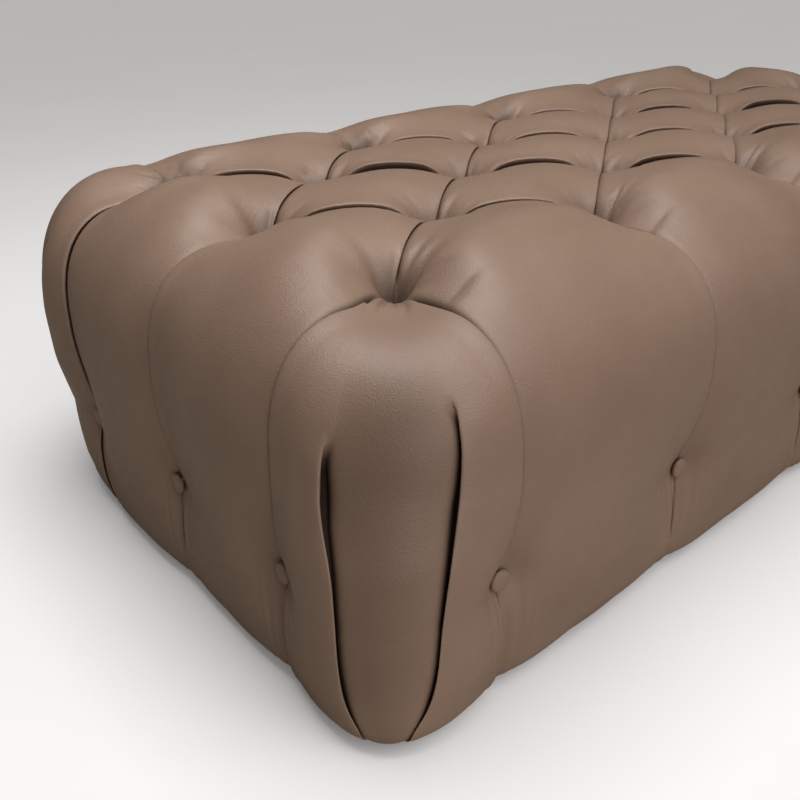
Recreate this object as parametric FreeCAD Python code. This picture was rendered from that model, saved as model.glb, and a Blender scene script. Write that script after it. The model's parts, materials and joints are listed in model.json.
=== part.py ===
import FreeCAD, Part
import math
import os

# Deep-buttoned bench ottoman in leather, millimetres, +Z up.
# The origin is on the floor under the middle of the bench, and +X runs along its length.

# Tufting layout: outer tufts stand on a grid, and a second grid fills its middles
tuft_columns = 5
tuft_rows = 3
tuft_pitch_x = 260.0
tuft_pitch_y = 184.0

# Heights of the tufted top above the floor
tuft_height = 266.0
saddle_height = 380.0
crown_height = 396.0
lip_height = 354.0
panel_lip_height = 385.0
lip_crest_rise = 2.0

# Padded sides, measured outwards from the outer row of tufts
lip_reach = 65.0
side_reach = 146.0
panel_reach = 158.0
button_reach = 119.5
button_panel_reach = 150.0
hem_reach = 128.0
hem_panel_reach = 134.0
button_height = 130.0
belly_swell = 3.0
hem_swell = 9.0

# Corner hoods: one value at the tuft, lip, shoulder, button line and hem
hood_roundness = (2.0, 2.2, 2.8, 3.4, 4.0)
hood_bulge = (0.0, 0.0, 6.0, 16.0, 16.0)
hood_rise = (0.0, 7.0, 0.0, 0.0, 0.0)

# Soft layers
leather_thickness = 2.0
wadding_thickness = 8.0
layer_clearance = 0.3
side_padding = 46.0

# Covered buttons and their ties
button_radius = 10.5
button_depth = 6.0
button_rim = 2.6
button_rim_roll = 0.9
loop_radius = 4.0
loop_wire_radius = 0.8
twine_radius = 0.8
tie_half_width = 4.0
tie_clearance = 0.2
tie_hole_radius = 5.5
toggle_length = 24.0
toggle_chamfer_share = 0.25

# Timber frame
deck_height = 250.0
deck_thickness = 12.0
side_panel_thickness = 9.0
rail_width = 45.0
rail_height = 45.0
bearer_place = 0.75
corner_block_leg = 70.0

# Fasteners
screw_radius = 2.0
screw_head_radius = 4.0
screw_head_depth = 2.6
screw_length = 80.0
deck_screw_length = 40.0
screw_pair_offset = 12.0
nail_radius = 0.9
nail_head_radius = 2.2
nail_head_depth = 1.0
nail_length = 24.0
fastener_clearance = 0.1
staple_width = 10.0
staple_wire = 1.0
staple_leg = 8.0
staple_pitch = 150.0

# Underside and feet
foot_height = 16.0
foot_radius = 14.0
foot_base_radius = 12.5
foot_setback = 70.0
foot_screw_length = 30.0
foot_screw_recess = 6.0
foot_hole_margin = 1.0
hem_turn_in = 50.0
dust_cover_thickness = 0.8
dust_cover_overlap = 8.0

# Shape of the padded curves, as shares of the spans that they run over
tuft_wall_reach = 0.36
tuft_wall_rise = 0.78
lip_lead = 0.55
shoulder_lead = 0.58
shoulder_drop = 0.72
crown_wall_reach = 0.37
crown_wall_rise = 0.87
crown_crest_rise = 1.14
panel_shoulder_lead = 0.48
panel_lip_fall = 0.15
panel_shoulder_drop = 0.51
button_line_lead = 0.28
button_draw = 0.4
puff_blend = 1.8
hem_draw = 0.15
hem_lead = 0.25
even_lead = 1 / 3

# Points tried each way across a face when a button is seated on it
seat_samples = 60

# Places worked out from the values above
up = FreeCAD.Vector(0, 0, 1)
field_half_x = tuft_pitch_x * (tuft_columns - 1) / 2
field_half_y = tuft_pitch_y * (tuft_rows - 1) / 2
saddle_rise = saddle_height - tuft_height
crown_trim = tuft_height + 2 * saddle_rise - crown_height
hem_height = foot_height - leather_thickness
wadding_inset = leather_thickness + layer_clearance
foam_inset = wadding_inset + wadding_thickness + layer_clearance
padding_floor = foot_height + layer_clearance
frame_reach = side_reach - side_padding
frame_half_x = field_half_x + frame_reach
frame_half_y = field_half_y + frame_reach
rail_half_x = frame_half_x - side_panel_thickness
rail_half_y = frame_half_y - side_panel_thickness
deck_underside = deck_height - deck_thickness
top_rail_floor = deck_underside - rail_height
bottom_rail_top = foot_height + rail_height
toggle_radius = tie_half_width - twine_radius - tie_clearance
long_rail_y = rail_half_y - rail_width / 2
end_rail_x = rail_half_x - rail_width / 2
bearer_x = tuft_pitch_x * bearer_place
hem_edge_x = field_half_x + hem_reach - hem_turn_in
hem_edge_y = field_half_y + hem_reach - hem_turn_in
dust_half_x = hem_edge_x + dust_cover_overlap
dust_half_y = hem_edge_y + dust_cover_overlap
foot_y = hem_edge_y - foot_radius - foot_hole_margin
thirds = (0.0, 1 / 3, 2 / 3, 1.0)
shoulder, button_line, hem = 1, 2, 3


def vector(x, y, z=0.0):
    return FreeCAD.Vector(x, y, z)


def box(low, high):
    size = high - low
    return Part.makeBox(size.x, size.y, size.z, low)


def joined(solids):
    return Part.makeCompound(solids)


def cut_away(shape, tools):
    return shape.cut(joined(tools)) if tools else shape


def aimed(shape, place, direction):
    """Copy a shape drawn along +Z so that its +Z points along direction at place."""
    copy = shape.copy()
    copy.Placement = FreeCAD.Placement(place, FreeCAD.Rotation(up, direction)).multiply(shape.Placement)
    return copy


def centred(count, pitch):
    return [pitch * (i - (count - 1) / 2) for i in range(count)]


# Tufts and sides

outer_columns = centred(tuft_columns, tuft_pitch_x)
outer_rows = centred(tuft_rows, tuft_pitch_y)
middle_columns = centred(tuft_columns - 1, tuft_pitch_x)
middle_rows = centred(tuft_rows - 1, tuft_pitch_y)


def grid(columns, rows):
    return [vector(x, y) for x in columns for y in rows]


def tufts():
    return grid(outer_columns, outer_rows) + grid(middle_columns, middle_rows)


class Side:
    """One upholstered side: it starts at a corner tuft and runs along the outer tufts."""

    def __init__(self, name, start, along, count, pitch, inner_reach):
        self.name = name
        self.start = start
        self.along = along
        self.outward = along.cross(up)
        self.count = count
        self.pitch = pitch
        self.inner_reach = inner_reach
        self.end = start + along * (pitch * (count - 1))

    def tufts(self):
        return [self.start + self.along * (self.pitch * i) for i in range(self.count)]

    def middles(self):
        return [self.start + self.along * (self.pitch * (i + 0.5)) for i in range(self.count - 1)]


def make_sides():
    x, y = field_half_x, field_half_y
    length = (tuft_columns, tuft_pitch_x, tuft_pitch_y / 2)
    depth = (tuft_rows, tuft_pitch_y, tuft_pitch_x / 2)
    return [
        Side("front", vector(-x, -y), vector(1, 0), *length),
        Side("right", vector(x, -y), vector(0, 1), *depth),
        Side("back", vector(x, y), vector(-1, 0), *length),
        Side("left", vector(-x, y), vector(0, -1), *depth),
    ]


sides = make_sides()


# Padded form: curves in (reach, height), then patches between them

def share(start, end, amount):
    return start + (end - start) * amount


def on_curve(poles, t):
    s = 1 - t
    weights = (s * s * s, 3 * s * s * t, 3 * s * t * t, t * t * t)
    reach = sum(w * p[0] for w, p in zip(weights, poles))
    height = sum(w * p[1] for w, p in zip(weights, poles))
    return reach, height


def pleat_spans(inset, floor):
    """The pleat that runs from an outer tuft over the edge and past a side button to the hem."""
    tuft, lip = tuft_height - inset, lip_height - inset
    side, line, foot = side_reach - inset, button_reach - inset, hem_reach - inset
    fall, drop = deck_height - button_height, button_height - floor
    return [
        [(0, tuft), (lip_reach * tuft_wall_reach, share(tuft, lip, tuft_wall_rise)),
         (lip_reach * lip_lead, lip + lip_crest_rise), (lip_reach, lip)],
        [(lip_reach, lip), (share(lip_reach, side, shoulder_lead), lip),
         (side, share(deck_height, lip, shoulder_drop)), (side, deck_height)],
        [(side, deck_height), (side + belly_swell, deck_height - fall * even_lead),
         (share(line, side, button_draw), button_height + fall * button_line_lead), (line, button_height)],
        [(line, button_height), (line + hem_swell, button_height - drop * hem_lead),
         (foot + hem_swell, floor + drop * even_lead), (foot, floor)],
    ]


def middle_spans(inner_reach, inset, floor):
    """The middle of an edge panel, from its inner tuft over the crown and down to the hem."""
    tuft, crown, lip = tuft_height - inset, crown_height - inset, panel_lip_height - inset
    side, line, foot = panel_reach - inset, button_panel_reach - inset, hem_panel_reach - inset
    fall, drop = deck_height - button_height, button_height - floor
    wall = -inner_reach * (1 - crown_wall_reach)
    turn = share(lip_reach, side, panel_shoulder_lead)
    return [
        [(-inner_reach, tuft), (wall, share(tuft, crown, crown_wall_rise)),
         (0, share(tuft, crown, crown_crest_rise)), (lip_reach, lip)],
        [(lip_reach, lip), (turn, share(lip, deck_height, panel_lip_fall)),
         (side, share(deck_height, lip, panel_shoulder_drop)), (side, deck_height)],
        [(side, deck_height), (side, deck_height - fall * even_lead),
         (share(line, side, button_draw), button_height + fall * even_lead), (line, button_height)],
        [(line, button_height), (share(line, foot, hem_draw), button_height - drop * even_lead),
         (share(line, foot, 1 - button_draw), floor + drop * even_lead), (foot, floor)],
    ]


def panel_half(side, middle, hand, inset, floor):
    """Half of an edge panel, from its middle to the pleat on the side that hand names."""
    pleat = pleat_spans(inset, floor)
    centre_line = middle_spans(side.inner_reach, inset, floor)
    bottom = tuft_height - inset

    def point(span, t, s):
        away = 1 - s if hand < 0 else s
        pleat_reach, pleat_height = on_curve(pleat[span], t)
        reach, height = on_curve(centre_line[span], t)
        fall = away * away
        height += (pleat_height - height) * fall
        if span == 0:
            reach += (pleat_reach - reach) * away
            crown = max(height - bottom, 0)
            saddle = saddle_rise * 4 * away * (1 - away) * (1 - t) ** 2
            height = bottom + (crown ** puff_blend + saddle ** puff_blend) ** (1 / puff_blend)
        else:
            reach += (pleat_reach - reach) * fall
        lateral = hand * away * side.pitch / 2
        return middle + side.along * lateral + side.outward * reach + up * height

    return point


def hood_surface(corner, before, after, inset, floor):
    """A corner hood, turning from the pleat of one side to the pleat of the next."""
    pleat = pleat_spans(inset, floor)

    def point(span, t, angle):
        reach, height = on_curve(pleat[span], t)
        power = share(hood_roundness[span], hood_roundness[span + 1], t)
        swell = math.sin(2 * angle)
        cosine, sine = abs(math.cos(angle)), abs(math.sin(angle))
        radius = reach * (cosine ** power + sine ** power) ** (-1 / power)
        radius += share(hood_bulge[span], hood_bulge[span + 1], t) * swell
        height += share(hood_rise[span], hood_rise[span + 1], t) * swell
        return corner + before * (radius * cosine) + after * (radius * sine) + up * height

    return point


def square_to_sector(a, b):
    """Distance and angle in a quarter circle for a point of the unit square."""
    x = a * math.sqrt(1 - b * b / 2)
    y = b * math.sqrt(1 - a * a / 2)
    return math.hypot(x, y), math.atan2(y, x)


def hood_half(hood, second):
    """Half of a hood as a strip, at the angles that its top patch uses."""
    def point(span, t, s):
        angle = math.pi / 2 - square_to_sector(1, 1 - s)[1] if second else square_to_sector(1, s)[1]
        return hood(span, t, angle)

    return point


def cubic_poles(samples):
    """Control points of the cubic through four evenly spaced points."""
    a, b, c, d = samples
    return [a, (b * 18 - a * 5 - c * 9 + d * 2) * (1 / 6), (c * 18 - d * 5 - b * 9 + a * 2) * (1 / 6), d]


def patch(samples):
    """A smooth face through four rows of four points."""
    rows = [cubic_poles(row) for row in samples]
    surface = Part.BezierSurface()
    surface.increase(3, 3)
    for column in range(4):
        for row, pole in enumerate(cubic_poles([line[column] for line in rows])):
            surface.setPole(row + 1, column + 1, pole)
    return surface.toShape()


def curve_edge(samples):
    curve = Part.BezierCurve()
    curve.setPoles(cubic_poles(samples))
    return curve.toShape()


def strip_face(point, span):
    return patch([[point(span, t, s) for s in thirds] for t in thirds])


def level_edge(point, span):
    return curve_edge([point(span, 1.0, s) for s in thirds])


def hoods(inset, floor):
    """The hood at the start corner of each side."""
    return [hood_surface(side.start, sides[i - 1].outward, side.outward, inset, floor)
            for i, side in enumerate(sides)]


def side_strips(index, inset, floor):
    """The strips of one side, from one corner's diagonal to the next."""
    side = sides[index]
    corner_hoods = hoods(inset, floor)
    strips = [hood_half(corner_hoods[index], True)]
    for middle in side.middles():
        strips.append(panel_half(side, middle, -1, inset, floor))
        strips.append(panel_half(side, middle, 1, inset, floor))
    strips.append(hood_half(corner_hoods[(index + 1) % len(sides)], False))
    return strips


def diamond_face(corners, inset):
    """A full puff between four tufts, given in order around it."""
    def point(u, v):
        place = share(share(corners[0], corners[1], u), share(corners[3], corners[2], u), v)
        across, along = 4 * u * (1 - u), 4 * v * (1 - v)
        height = tuft_height - inset + saddle_rise * (across + along) - crown_trim * across * along
        return place + up * height

    return patch([[point(u, v) for u in thirds] for v in thirds])


def diamond_faces(inset):
    half_x, half_y = vector(tuft_pitch_x / 2, 0), vector(0, tuft_pitch_y / 2)
    centres = grid(middle_columns, outer_rows[1:-1]) + grid(outer_columns[1:-1], middle_rows)
    return [diamond_face([c - half_y, c + half_x, c + half_y, c - half_x], inset) for c in centres]


def hood_top_face(hood):
    def point(a, b):
        distance, angle = square_to_sector(a, b)
        return hood(0, distance, angle)

    return patch([[point(a, b) for a in thirds] for b in thirds])


def padded_faces(inset, floor, last_span):
    """The tufted skin at a depth below the leather's face, down to the end of last_span."""
    faces = diamond_faces(inset)
    faces += [hood_top_face(hood) for hood in hoods(inset, floor)]
    for index in range(len(sides)):
        strips = side_strips(index, inset, floor)
        faces += [strip_face(point, 0) for point in strips[1:-1]]
        faces += [strip_face(point, span) for span in range(1, last_span + 1) for point in strips]
    return faces


def level_wire(inset, floor, span):
    edges = []
    for index in range(len(sides)):
        edges += [level_edge(point, span) for point in side_strips(index, inset, floor)]
    return Part.Wire(edges)


def closed_solid(faces):
    shell = Part.makeShell(faces)
    shell.sewShape()
    solid = Part.makeSolid(shell)
    if solid.Volume < 0:
        solid.reverse()
    return solid


def planar_face(edges):
    return Part.Face(Part.Wire(Part.__sortEdges__(edges)))


def ring_face(outer, inner):
    return Part.Face([outer, inner], "Part::FaceMakerBullseye")


def rectangle(half_x, half_y, z):
    corners = [vector(-half_x, -half_y, z), vector(half_x, -half_y, z), vector(half_x, half_y, z),
               vector(-half_x, half_y, z)]
    return Part.makePolygon(corners + corners[:1])


# Soft layers

def leather_cover():
    faces = padded_faces(0.0, hem_height, hem) + padded_faces(leather_thickness, foot_height, hem)
    low_edge = rectangle(hem_edge_x, hem_edge_y, hem_height)
    high_edge = rectangle(hem_edge_x, hem_edge_y, foot_height)
    faces.append(ring_face(level_wire(0.0, hem_height, hem), low_edge))
    faces.append(ring_face(level_wire(leather_thickness, foot_height, hem), high_edge))
    faces += [Part.makeRuledSurface(low, high) for low, high in zip(low_edge.Edges, high_edge.Edges)]
    return closed_solid(faces)


def fibre_wadding():
    inner = wadding_inset + wadding_thickness
    faces = padded_faces(wadding_inset, padding_floor, hem) + padded_faces(inner, padding_floor, hem)
    outer_edge = level_wire(wadding_inset, padding_floor, hem)
    faces.append(ring_face(outer_edge, level_wire(inner, padding_floor, hem)))
    return closed_solid(faces)


def seat_foam():
    faces = padded_faces(foam_inset, padding_floor, shoulder)
    faces.append(Part.Face(level_wire(foam_inset, padding_floor, shoulder)))
    return closed_solid(faces)


def side_foam(index):
    """Padding of one side, mitred to its neighbours along the corner diagonals."""
    strips = side_strips(index, foam_inset, padding_floor)
    side = sides[index]
    after = sides[(index + 1) % len(sides)]
    start = side.start + (side.outward + sides[index - 1].outward) * frame_reach
    end = side.end + (side.outward + after.outward) * frame_reach
    faces = [strip_face(point, span) for span in (button_line, hem) for point in strips]
    low, high = up * padding_floor, up * deck_height
    for span, level in ((shoulder, high), (hem, low)):
        edges = [level_edge(point, span) for point in strips]
        path = [strips[-1](span, 1.0, 1.0), end + level, start + level, strips[0](span, 1.0, 0.0)]
        faces.append(planar_face(edges + Part.makePolygon(path).Edges))
    for corner, point, s in ((start, strips[0], 0.0), (end, strips[-1], 1.0)):
        edges = [curve_edge([point(span, t, s) for t in thirds]) for span in (button_line, hem)]
        path = [point(shoulder, 1.0, s), corner + high, corner + low, point(hem, 1.0, s)]
        faces.append(planar_face(edges + Part.makePolygon(path).Edges))
    back = [start + low, end + low, end + high, start + high]
    faces.append(planar_face(Part.makePolygon(back + back[:1]).Edges))
    return closed_solid(faces)


# Buttons, each tied by a ring of twine to a toggle behind the deck or a side panel

class Tie:
    """A button's place: the back of the button, its outward direction and its toggle's bearing face."""

    def __init__(self, axis_place, outward, seat, anchor):
        self.outward = outward
        self.anchor_place = axis_place + outward * anchor
        self.button_place = axis_place + outward * seat
        self.depth = seat - anchor


def seat_over(faces, centre, outward):
    """How far out a button's back lies to clear the leather under its rim."""
    steps = [i / seat_samples for i in range(seat_samples + 1)]
    reaches = []
    for offset in [face.Surface.value(u, v) - centre for face in faces for u in steps for v in steps]:
        reach = offset.dot(outward)
        if (offset - outward * reach).Length < button_radius:
            reaches.append(reach)
    return max(reaches) + layer_clearance


def top_seat():
    """Height of a top button's back, from the puffs round a corner tuft and a middle tuft."""
    corner, middle = sides[0].start, vector(middle_columns[0], middle_rows[0])
    faces = diamond_faces(0.0)[:1] + [hood_top_face(hoods(0.0, hem_height)[0])]
    for side, end in ((sides[0], 0), (sides[-1], -1)):
        halves = [panel_half(side, side.middles()[end], hand, 0.0, hem_height) for hand in (-1, 1)]
        faces += [strip_face(point, 0) for point in halves]
    return max(seat_over(faces, centre, up) for centre in (corner, middle))


def side_seat(index):
    """Reach of a side button's back, measured from the outer tufts."""
    side = sides[index]
    hood = hood_half(hoods(0.0, hem_height)[index], True)
    strips = (hood, panel_half(side, side.middles()[0], -1, 0.0, hem_height))
    faces = [strip_face(point, span) for point in strips for span in (button_line, hem)]
    return seat_over(faces, side.start + up * button_height, side.outward)


def top_ties():
    seat = top_seat()
    return [Tie(place, up, seat, deck_underside) for place in tufts()]


def side_ties(index):
    side = sides[index]
    seat = side_seat(index)
    anchor = frame_reach - side_panel_thickness
    return [Tie(place + up * button_height, side.outward, seat, anchor) for place in side.tufts()]


def tie_holes(ties):
    return [aimed(Part.makeCylinder(tie_hole_radius, tie.depth), tie.anchor_place, tie.outward)
            for tie in ties]


def revolved(points):
    outline = Part.makePolygon([vector(r, 0, z) for r, z in points + points[:1]])
    return Part.Face(outline).revolve(vector(0, 0), up, 360)


def button_cap():
    """A domed cap with a rolled rim and a flat back."""
    rim = button_radius - button_rim_roll
    dome_height = button_depth - button_rim
    dome_radius = (rim * rim + dome_height * dome_height) / (2 * dome_height)
    middle = math.asin(rim / dome_radius) / 2
    back, low_rim, high_rim = vector(0, 0, 0), vector(rim, 0, 0), vector(rim, 0, button_rim)
    outer_rim, top = vector(button_radius, 0, button_rim / 2), vector(0, 0, button_depth)
    crest = top + vector(dome_radius * math.sin(middle), 0, dome_radius * (math.cos(middle) - 1))
    edges = [
        Part.makeLine(back, low_rim),
        Part.Arc(low_rim, outer_rim, high_rim).toShape(),
        Part.Arc(high_rim, crest, top).toShape(),
        Part.makeLine(top, back),
    ]
    return Part.Face(Part.Wire(edges)).revolve(back, up, 360)


def half_ring(radius, wire_radius, start, axis):
    """A half ring of round wire from start, turned about axis through the middle of its ends."""
    section = Part.Face(Part.Wire(Part.makeCircle(wire_radius, start * radius, up)))
    return section.revolve(vector(0, 0), axis, 180)


def button_loop():
    return half_ring(loop_radius, loop_wire_radius, vector(0, -1), vector(1, 0))


def twine_ring(depth):
    """A closed ring of twine through a button's loop and round its toggle."""
    top = depth - loop_radius + loop_wire_radius + tie_clearance - tie_half_width + twine_radius
    bottom = -toggle_radius - tie_clearance
    upper = half_ring(tie_half_width, twine_radius, vector(1, 0), vector(0, -1))
    lower = half_ring(tie_half_width, twine_radius, vector(-1, 0), vector(0, -1))
    upper.translate(up * top)
    lower.translate(up * bottom)
    strands = [Part.makeCylinder(twine_radius, top - bottom, vector(x, 0, bottom))
               for x in (-tie_half_width, tie_half_width)]
    return upper.fuse([lower] + strands).removeSplitter()


def toggle():
    rod = Part.makeCylinder(toggle_radius, toggle_length, vector(0, -toggle_length / 2), vector(0, 1))
    rims = [edge for edge in rod.Edges if edge.Curve.TypeId == "Part::GeomCircle"]
    rod = rod.makeChamfer(toggle_radius * toggle_chamfer_share, rims)
    rod.translate(up * (-toggle_radius - tie_clearance))
    return rod


def save_ties(prefix, ties):
    cap, loop, rod = button_cap(), button_loop(), toggle()
    save(prefix + "_button_caps", joined([aimed(cap, tie.button_place, tie.outward) for tie in ties]))
    save(prefix + "_button_loops", joined([aimed(loop, tie.button_place, tie.outward) for tie in ties]))
    rings = [aimed(twine_ring(tie.depth), tie.anchor_place, tie.outward) for tie in ties]
    save(prefix + "_tufting_twines", joined(rings))
    save(prefix + "_twine_toggles", joined([aimed(rod, tie.anchor_place, tie.outward) for tie in ties]))


# Fasteners, drawn along +Z from the head's face to the tip

def screw(length, grow=0.0):
    radius, head, end = screw_radius + grow, screw_head_radius + grow, length + grow
    return revolved([(0, 0), (head, 0), (radius, screw_head_depth), (radius, end), (0, end)])


def nail(grow=0.0):
    radius, head, end = nail_radius + grow, nail_head_radius + grow, nail_length + grow
    neck = nail_head_depth
    return revolved([(0, 0), (head, 0), (head, neck), (radius, neck), (radius, end), (0, end)])


def placed(shape, places):
    return [aimed(shape, place, direction) for place, direction in places]


def both(value):
    return (-value, value)


def rail_levels():
    return (foot_height + rail_height / 2, top_rail_floor + rail_height / 2)


def long_rail_places(column_x):
    """Screw pairs through the long rails into the ends of a crosswise rail."""
    return [(vector(x + offset, side_y, z), vector(0, -math.copysign(1, side_y)))
            for x in both(column_x) for offset in both(screw_pair_offset)
            for side_y in both(rail_half_y) for z in rail_levels()]


def post_places():
    posts = grid(both(end_rail_x) + both(bearer_x), both(long_rail_y))
    return ([(post + up * foot_height, up) for post in posts]
            + [(post + up * deck_underside, -up) for post in posts])


def deck_places():
    spots = grid(middle_columns, both(long_rail_y)) + grid(both(end_rail_x), middle_rows)
    return [(spot + up * deck_height, -up) for spot in spots]


def nail_places(index):
    side = sides[index]
    return [(middle + side.outward * frame_reach + up * z, -side.outward)
            for middle in side.middles() for z in rail_levels()]


def foot_spots():
    return grid((foot_setback - rail_half_x, 0, rail_half_x - foot_setback), both(foot_y))


def foot_places():
    return [(spot + up * foot_screw_recess, up) for spot in foot_spots()]


def staple(crown_top, leg_top):
    """A staple under the frame, its crown along X and its legs driven up to leg_top."""
    half, wire = staple_width / 2, staple_wire / 2
    crown = box(vector(-half, -wire, crown_top - staple_wire), vector(half, wire, crown_top))
    legs = [box(vector(x - wire, -wire, crown_top), vector(x + wire, wire, leg_top))
            for x in (-half + wire, half - wire)]
    return crown.fuse(legs).removeSplitter()


def staple_row(shape, half_x, half_y):
    """Staples spaced evenly along the four edges of a rectangle."""
    placed_row = []
    for half_run, offset, quarter_turns in ((half_x, half_y, 0), (half_y, half_x, 1)):
        count = max(2, int(2 * half_run / staple_pitch))
        for place in centred(count, 2 * half_run / count):
            for edge in both(offset):
                copy = shape.copy()
                copy.translate(vector(place, edge))
                copy.rotate(vector(0, 0), up, 90 * quarter_turns)
                placed_row.append(copy)
    return placed_row


def hem_staples():
    shape = staple(hem_height, hem_height + staple_leg)
    return staple_row(shape, (dust_half_x + rail_half_x) / 2, (dust_half_y + rail_half_y) / 2)


def dust_cover_staples():
    shape = staple(hem_height - dust_cover_thickness, hem_height - dust_cover_thickness + staple_leg)
    return staple_row(shape, (hem_edge_x + dust_half_x) / 2, (hem_edge_y + dust_half_y) / 2)


def staples():
    return hem_staples() + dust_cover_staples()


# Timber frame, deck and side panels

def rail_boxes(name, floor):
    x, y, ceiling = rail_half_x, rail_half_y, floor + rail_height
    inner_x, inner_y = x - rail_width, y - rail_width
    return {
        name + "_front": box(vector(-x, -y, floor), vector(x, -inner_y, ceiling)),
        name + "_back": box(vector(-x, inner_y, floor), vector(x, y, ceiling)),
        name + "_left": box(vector(-x, -inner_y, floor), vector(-inner_x, inner_y, ceiling)),
        name + "_right": box(vector(inner_x, -inner_y, floor), vector(x, inner_y, ceiling)),
    }


def post_boxes():
    half = rail_width / 2
    posts = {}
    for kind, column in (("corner_post", end_rail_x), ("middle_post", bearer_x)):
        for x, hand in ((-column, "left"), (column, "right")):
            for y, face in ((-long_rail_y, "front"), (long_rail_y, "back")):
                low = vector(x - half, y - half, bottom_rail_top)
                high = vector(x + half, y + half, top_rail_floor)
                posts["_".join((kind, face, hand))] = box(low, high)
    return posts


def cross_boxes():
    half = rail_width / 2
    inner_y = rail_half_y - rail_width
    boxes = {}
    for x, hand in ((-bearer_x, "left"), (bearer_x, "right")):
        for name, floor in (("bottom_cross_rail_", foot_height), ("deck_bearer_", top_rail_floor)):
            low = vector(x - half, -inner_y, floor)
            boxes[name + hand] = box(low, vector(x + half, inner_y, floor + rail_height))
    return boxes


def corner_blocks():
    """Triangular glue blocks inside the corners of the bottom rails."""
    blocks = {}
    for hand_x, hand in ((-1, "left"), (1, "right")):
        for hand_y, face in ((-1, "front"), (1, "back")):
            x = hand_x * (rail_half_x - rail_width)
            y = hand_y * (rail_half_y - rail_width)
            corners = [vector(x, y, foot_height), vector(x - hand_x * corner_block_leg, y, foot_height),
                       vector(x, y - hand_y * corner_block_leg, foot_height)]
            outline = Part.Face(Part.makePolygon(corners + corners[:1]))
            blocks["_".join(("corner_block", face, hand))] = outline.extrude(up * rail_height)
    return blocks


def side_panel(index):
    """A board on one face of the frame: the long boards cover the ends of the short ones."""
    side = sides[index]
    reach = frame_reach
    trim = reach if side.outward.y else reach - side_panel_thickness
    start = side.start - side.along * trim + side.outward * (reach - side_panel_thickness)
    end = side.end + side.along * trim + side.outward * reach
    low = vector(min(start.x, end.x), min(start.y, end.y), foot_height)
    high = vector(max(start.x, end.x), max(start.y, end.y), deck_underside)
    return box(low, high)


def deck_panel():
    low = vector(-frame_half_x, -frame_half_y, deck_underside)
    return box(low, vector(frame_half_x, frame_half_y, deck_height))


def foot():
    body = revolved([(0, 0), (foot_base_radius, 0), (foot_radius, foot_height), (0, foot_height)])
    recess = Part.makeCylinder(screw_head_radius + fastener_clearance, foot_screw_recess)
    shank = screw(foot_screw_length, fastener_clearance)
    shank.translate(up * foot_screw_recess)
    return body.cut([recess, shank])


def dust_cover():
    low = vector(-dust_half_x, -dust_half_y, hem_height - dust_cover_thickness)
    sheet = box(low, vector(dust_half_x, dust_half_y, hem_height))
    openings = [Part.makeCylinder(foot_radius + foot_hole_margin, dust_cover_thickness, spot + up * low.z)
                for spot in foot_spots()]
    return sheet.cut(joined(openings))


# Build

def touching(shape, tools):
    return [tool for tool in tools if shape.BoundBox.intersect(tool.BoundBox)]


def save(name, shape):
    shape.exportStep(os.path.join("parts", name + ".step"))


def save_drilled(name, shape, tools):
    save(name, cut_away(shape, touching(shape, tools)))


def main():
    os.makedirs("parts", exist_ok=True)
    tops = top_ties()
    flanks = [tie for index in range(len(sides)) for tie in side_ties(index)]
    all_holes = tie_holes(tops + flanks)
    pins = staples()

    save_drilled("leather_cover", leather_cover(), all_holes + pins)
    save_drilled("fibre_wadding", fibre_wadding(), all_holes)
    save_drilled("seat_foam", seat_foam(), all_holes)
    for index, side in enumerate(sides):
        save_drilled("side_foam_" + side.name, side_foam(index), all_holes)
    save_ties("top", tops)
    save_ties("side", flanks)

    groups = {
        "rail_screws": (screw, screw_length, long_rail_places(end_rail_x)),
        "cross_rail_screws": (screw, screw_length, long_rail_places(bearer_x)),
        "post_screws": (screw, screw_length, post_places()),
        "deck_screws": (screw, deck_screw_length, deck_places()),
        "foot_screws": (screw, foot_screw_length, foot_places()),
    }
    drills = []
    for name, (shape, length, places) in groups.items():
        save(name, joined(placed(shape(length), places)))
        drills += placed(shape(length, fastener_clearance), places)
    nails = [place for index in range(len(sides)) for place in nail_places(index)]
    save("panel_nails", joined(placed(nail(), nails)))
    drills += placed(nail(fastener_clearance), nails)

    timber = rail_boxes("bottom_rail", foot_height)
    timber.update(rail_boxes("top_rail", top_rail_floor))
    timber.update(post_boxes())
    timber.update(cross_boxes())
    timber.update(corner_blocks())
    timber["deck_panel"] = deck_panel()
    for index, side in enumerate(sides):
        timber["side_panel_" + side.name] = side_panel(index)
    for name, shape in timber.items():
        save_drilled(name, shape, drills + pins + all_holes)

    save_drilled("dust_cover", dust_cover(), pins)
    save("hem_staples", joined(hem_staples()))
    save("dust_cover_staples", joined(dust_cover_staples()))
    feet = [foot().translated(spot) for spot in foot_spots()]
    save("feet", joined(feet))


main()
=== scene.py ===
import json
import math

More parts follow.
